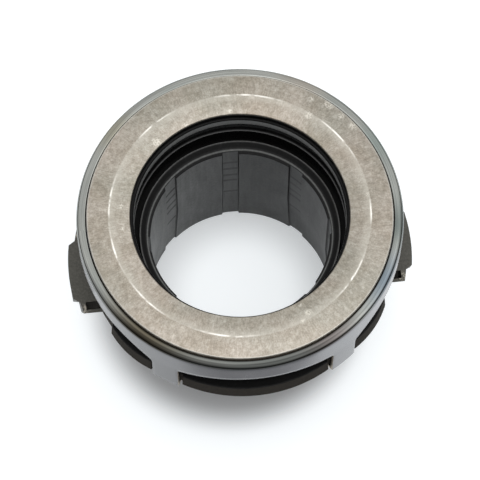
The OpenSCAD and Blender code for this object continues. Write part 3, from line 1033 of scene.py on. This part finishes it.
def pad_reach(angle, pads):
    """How far inside its nearest pad an angle lies, along the rim, and that pad's radius there."""
    start, end, off = max(pads, key=lambda pad: min(angle - pad[0], pad[1] - angle))
    inside = math.radians(min(angle - start, end - angle)) * COVER_R
    from_middle = math.radians(angle - (start + end) / 2)
    crown_r = COVER_R - PAD_INSET - off
    across = min(abs(off * math.sin(from_middle)), crown_r)
    return inside, off * math.cos(from_middle) + math.sqrt(crown_r * crown_r - across * across)


def sleeve_angles(pads):
    """Angles of the sleeve's columns: even steps, and close ones at the grooves', pads' and ribs' edges."""
    angles = [360 * i / SLEEVE_COLUMNS for i in range(SLEEVE_COLUMNS)]
    groove_half = math.degrees(math.asin(GROOVE_W / 2 / BORE_R))
    for i in range(GROOVES):
        for side in (-1, 1):
            for share in GROOVE_SHARES:
                step = math.degrees(share * GROOVE_ROUND / BORE_R)
                angles.append(360 * i / GROOVES + side * (groove_half + step))
    for start, end, _ in pads:
        for share in PAD_SHARES:
            step = math.degrees(share * PAD_ROUND / COVER_R)
            angles += [start + step, end - step]
    for i in range(RIBS):
        for side in (-1, 1):
            for share in RIB_SHARES:
                step = math.degrees((RIB_T / 2 - share * RIB_ROUND) / RIB_R)
                angles.append(360 * (i + 0.5) / RIBS + side * step)
    return sorted({round(a % 360, ANGLE_DIGITS) for a in angles})


def sleeve_section(angle, pads):
    """Closed outline of the sleeve at an angle, with its groove, pad and rib."""
    groove_pitch = 360 / GROOVES
    from_groove = abs((angle + groove_pitch / 2) % groove_pitch - groove_pitch / 2)
    in_groove = GROOVE_W / 2 - math.radians(from_groove) * BORE_R
    groove = GROOVE_DEPTH * smooth(in_groove, -GROOVE_ROUND, GROOVE_ROUND)
    runout_z = LEAD_Z + STEEP_H * groove / STEEP_W
    bore = BORE_R + groove
    in_pad, pad_r = pad_reach(angle, pads)
    pad = smooth(in_pad, 0, PAD_ROUND)
    outer_r = DISC_R + (pad_r - DISC_R) * pad
    rib_pitch = 360 / RIBS
    in_rib = RIB_T / 2 - math.radians(abs(angle % rib_pitch - rib_pitch / 2)) * RIB_R
    under = FLANGE_TOP - PLATE_T - (FLANGE_T - PLATE_T) * smooth(in_rib, 0, RIB_ROUND)
    return rounded([
        (bore + FLARE_OUT, FOOT_Z, FOOT_ROUND),
        (FOOT_R, FOOT_Z, FOOT_ROUND),
        (SLEEVE_R, FLANGE_Z, 0),
        (SLEEVE_R, under, 0),
        (RIM_IN_R, under, 0),
        (RIM_IN_R, FLANGE_Z, 0),
        (outer_r - FLANGE_CHAMFER, FLANGE_Z, CHAMFER_ROUND),
        (outer_r, FLANGE_Z + FLANGE_CHAMFER, CHAMFER_ROUND),
        (outer_r - PAD_LEAN * pad, FLANGE_TOP, FLANGE_ROUND),
        (SLEEVE_R, FLANGE_TOP, RIM_ROOT_ROUND),
        (SLEEVE_R, SLEEVE_TOP, RIM_ROUND),
        (STEEP_R, STEEP_TOP, KINK_ROUND),
        (bore, runout_z, MOUTH_ROUND),
        (bore, FLARE_H, 0),
    ], SLEEVE_FILLET_STEPS)


def lean_at(z):
    """How far a lug's flanks have leaned in at a height."""
    return LUG_LEAN * (LUG_TOP - z) / LUG_T


def arc_across(radius, half_w, z):
    """Points of an arc about Z, across +X from one side to the other."""
    reach = math.asin(half_w / radius)
    angles = [reach * (2 * i / LUG_ARC_STEPS - 1) for i in range(LUG_ARC_STEPS + 1)]
    return [(radius * math.cos(a), radius * math.sin(a), z) for a in angles]


def block_ring(start_x, end_x, half_w, z):
    """Corners of a level rectangle about the X axis."""
    return [(start_x, -half_w, z), (end_x, -half_w, z), (end_x, half_w, z), (start_x, half_w, z)]


def lug_solids(work):
    """Shoulders, nose, fork pad and post of the lug on +X, as closed solids that overlap."""
    inner_x = SLEEVE_R - SLEEVE_WALL / 2
    post_half = (NOSE_W + NOSE_FLARE) / 2
    shoulders = []
    for z in (LUG_Z + FORK_PAD_H, LUG_TOP):
        half = SHOULDER_W / 2 - lean_at(z)
        shoulders.append([(inner_x, -half, z)] + arc_across(SHOULDER_R, half, z) + [(inner_x, half, z)])
    loft(work, shoulders)
    nose = []
    for z in (LUG_Z, LUG_TOP):
        half = post_half - lean_at(z)
        root = [(RIM_IN_R, half, z), (LUG_R - NOSE_RUN, half, z)]
        tip = arc_across(LUG_R, min(half, NOSE_W / 2), z)
        nose.append([(x, -y, h) for x, y, h in root] + tip + list(reversed(root)))
    loft(work, nose)
    bmesh.ops.bevel(
        work,
        geom=[e for e in work.edges if e.calc_face_angle(0) > math.radians(LUG_EDGE_DEG)],
        offset=LUG_BEVEL * MM,
        segments=LUG_BEVEL_STEPS,
        profile=0.5,
        affect="EDGES",
        clamp_overlap=True,
    )
    pad_end = RIM_IN_R + FORK_PAD_OVERLAP
    pad_heights = (LUG_Z, LUG_Z + 2 * FORK_PAD_H)
    loft(work, [block_ring(FOOT_R + FORK_PAD_GAP, pad_end, post_half - lean_at(z), z) for z in pad_heights])
    post_heights = (LUG_TOP - LUG_BEVEL, FLANGE_TOP - PLATE_T / 2)
    loft(work, [block_ring(inner_x, RIM_IN_R, post_half, z) for z in post_heights])


def pocket_solids(work):
    """Cutters of the two clip pockets of the lug on +X, leaning with its flanks."""
    lean = math.atan(LUG_LEAN / LUG_T)
    end_y = SHOULDER_W / 2 - POCKET_WALL
    end_x = math.sqrt(SHOULDER_R * SHOULDER_R - end_y * end_y) - POCKET_WALL
    start_x = end_x - POCKET_L
    for side in (-1, 1):
        rings = []
        for up in (-POCKET_DEPTH, POCKET_ABOVE):
            ring = []
            for x, across in ((start_x, -POCKET_W), (end_x, -POCKET_W), (end_x, 0), (start_x, 0)):
                y = end_y + across * math.cos(lean) + up * math.sin(lean)
                z = LUG_TOP - across * math.sin(lean) + up * math.cos(lean)
                ring.append((x, side * y, z))
            rings.append(ring if side == 1 else list(reversed(ring)))
        loft(work, rings)


def both_lugs(name, build):
    """An object holding what a function builds for the lug on +X, and the same turned half round."""
    work = bmesh.new()
    build(work)
    turned = bmesh.ops.duplicate(work, geom=work.verts[:] + work.edges[:] + work.faces[:])["geom"]
    points = [g for g in turned if isinstance(g, bmesh.types.BMVert)]
    bmesh.ops.rotate(work, verts=points, cent=(0, 0, 0), matrix=Matrix.Rotation(math.pi, 3, "Z"))
    bmesh.ops.recalc_face_normals(work, faces=work.faces[:])
    piece = new_piece(name, [], [])
    work.to_mesh(piece.data)
    work.free()
    return piece


def guide_sleeve():
    """Moulded sleeve: bore with grooves, flange with pads and ribs, and two lugs with clip pockets."""
    pads = pad_spans()
    sections = [(math.radians(angle), sleeve_section(angle, pads)) for angle in sleeve_angles(pads)]
    piece = turned_piece("guide_sleeve_moulded", sections)
    work = bmesh.new()
    work.from_mesh(piece.data)
    bmesh.ops.remove_doubles(work, verts=work.verts, dist=SAME_POINT * MM)
    work.to_mesh(piece.data)
    work.free()
    lugs = both_lugs("lugs", lug_solids)
    combine(lugs, both_lugs("pockets", pocket_solids), "DIFFERENCE")
    combine(piece, lugs, "UNION")
    finish_mesh(piece)
    even = piece.modifiers.new("even_shading", "WEIGHTED_NORMAL")
    even.keep_sharp = True
    dress(piece, "carrier", "guide_sleeve", "sleeve_plastic", sleeve_plastic())


def inner_pieces():
    """Materials of the CAD nodes that keep their own solids."""
    finishes = {name: "ball_steel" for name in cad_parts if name.startswith("ball_")}
    finishes.update({
        "ball_cage": "cage_plastic",
        "outer_ring": "race_steel",
        "disc_spring": "spring_steel",
        "bottom_seal": "seal_rubber",
    })
    for name, finish in finishes.items():
        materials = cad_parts[name].data.materials
        materials.clear()
        materials.append(MATERIALS[finish])


# Stage
def sheet_on_stage(name, corners, paint, colour):
    """A flat, matt sheet that isn't part of the object."""
    piece = new_piece(name, corners, [(0, 1, 2, 3)])
    paint.set("Base Color", colour)
    paint.set("Roughness", MATT)
    paint.set("Specular IOR Level", 0.0)
    piece.data.materials.append(paint.material)
    return piece


def floor():
    """White floor that shows as white to the camera and in reflections, and keeps the shadow."""
    paint = Paint("floor_white")
    half = FLOOR_HALF_W
    sheet_on_stage(
        "floor", [(-half, -half, 0), (half, -half, 0), (half, half, 0), (-half, half, 0)], paint, FLOOR_COLOUR
    )
    path = paint.tree.nodes.new("ShaderNodeLightPath")
    seen = paint.most(path.outputs["Is Camera Ray"], path.outputs["Is Glossy Ray"])
    seen = paint.most(seen, path.outputs["Is Transmission Ray"])
    # Painted light: the floor glows inside the sleeve's bore, where the bore shades it.
    painted_inside = paint.times(
        paint.fade(paint.radius, (BORE_R / 2, SLEEVE_R), to=(FLOOR_GLOW_IN, FLOOR_GLOW_EDGE)),
        paint.fall(paint.radius, (SLEEVE_R, SLEEVE_R + FLOOR_GLOW_BLUR)),
    )
    # Painted shadow: the glow rises with the distance from the object, leaning with X, so the shadow's
    # falloff is painted.
    leaning = paint.plus(paint.radius, paint.times(paint.x, SHADOW_LEAN))
    shadow_falloff_glow = paint.fade(leaning, (SHADOW_R, SHADOW_END_R), to=(0.0, FLOOR_GLOW))
    paint.set("Emission Color", GLOW_COLOUR)
    paint.set("Emission Strength", paint.times(seen, paint.plus(painted_inside, shadow_falloff_glow)))


def grey_card():
    """Grey card on the floor in front, outside the photograph's view, which only reflections see."""
    near, far, half, up = CARD_NEAR, CARD_FAR, CARD_HALF_W, CARD_UP
    corners = [(-half, -far, up), (half, -far, up), (half, -near, up), (-half, -near, up)]
    piece = sheet_on_stage("grey_card", corners, Paint("card_grey"), CARD_COLOUR)
    piece.visible_camera = False
    piece.visible_diffuse = False
    piece.visible_shadow = False


def lights():
    """Soft studio dome: dim near the horizon, white above, brightest at a wide patch overhead."""
    world = bpy.data.worlds.new("studio")
    bpy.context.scene.world = world
    world.use_nodes = True
    nodes = Nodes(world.node_tree)
    background = nodes.tree.nodes["Background"]
    toward = nodes.tree.nodes.new("ShaderNodeTexCoord").outputs["Generated"]
    _, back, up = nodes.split(toward)
    rise = nodes.plus(up, nodes.times(nodes.most(back, 0.0), DOME_BEHIND))
    dome = nodes.fade(rise, (DOME_LOW, DOME_HIGH), to=(DOME_DIM, DOME_BRIGHT))
    along = nodes.tree.nodes.new("ShaderNodeVectorMath")
    along.operation = "DOT_PRODUCT"
    nodes.plug(along.inputs[0], toward)
    nodes.plug(along.inputs[1], tuple(Vector(PATCH_AXIS).normalized()))
    rim_to_core = [math.cos(math.radians(a)) for a in (PATCH_RIM_DEG, PATCH_CORE_DEG)]
    patch = nodes.fade(along.outputs["Value"], rim_to_core, to=(0.0, PATCH_LIGHT))
    nodes.plug(background.inputs["Strength"], nodes.plus(dome, patch))
    nodes.plug(background.inputs["Color"], grey(1.0))


def camera():
    """Camera at the photograph's viewpoint."""
    data = bpy.data.cameras.new("camera")
    data.lens = LENS_MM
    data.sensor_width = SENSOR_MM
    data.clip_start = CAMERA_CLIP * MM
    piece = bpy.data.objects.new("camera", data)
    azimuth = math.radians(CAMERA_AZIMUTH_DEG)
    elevation = math.radians(CAMERA_ELEVATION_DEG)
    level = CAMERA_DISTANCE * MM * math.cos(elevation)
    height = CAMERA_DISTANCE * MM * math.sin(elevation)
    piece.location = (level * math.sin(azimuth), -level * math.cos(azimuth), FACE_Z * MM + height)
    piece.rotation_euler = (math.radians(90 - CAMERA_PITCH_DEG), 0, azimuth)
    bpy.context.scene.collection.objects.link(piece)
    bpy.context.scene.camera = piece


camera()
lights()
floor()
grey_card()
thrust_ring()
inner_seal()
cover()
guide_sleeve()
inner_pieces()

bpy.context.scene.view_settings.view_transform = "Standard"
